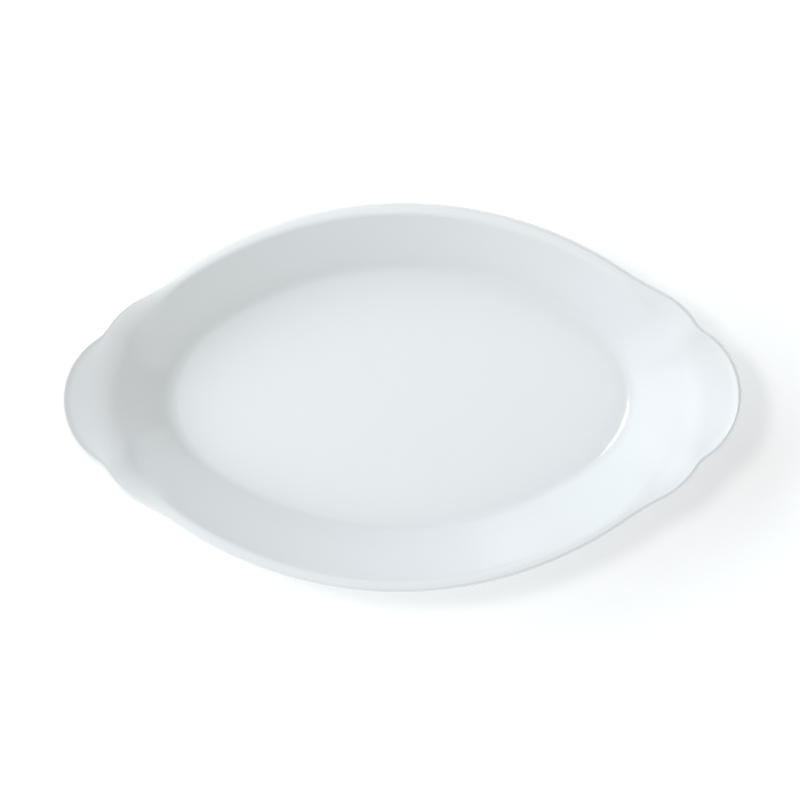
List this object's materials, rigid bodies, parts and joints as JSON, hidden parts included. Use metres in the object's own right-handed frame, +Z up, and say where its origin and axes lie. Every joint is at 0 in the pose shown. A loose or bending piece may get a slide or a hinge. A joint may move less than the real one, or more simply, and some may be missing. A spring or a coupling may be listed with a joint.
{
  "type": "serving dish",
  "caption": "Oval white china serving dish with sloping walls, a flat well, a rounded rim and a notched ear at each end, on an oval foot ring.",
  "frame": {"origin": "on the table under the middle of the dish, in the plane of the foot ring's resting edge", "axes": "+X along the dish through both ears, +Y across it, +Z up"},
  "size_m": [0.3456, 0.1976, 0.0423],
  "materials": {
    "fired_china": "bare vitrified china, fine matt, seen on the foot ring's resting edge",
    "white_glaze": "high gloss, cool white",
    "base_glaze": "high gloss, cool white, a little thinner than the main coat"
  },
  "bodies": {
    "root": {"china_body": "fired_china", "glaze_coat": "white_glaze", "glaze_base": "base_glaze"}
  },
  "joints": []
}
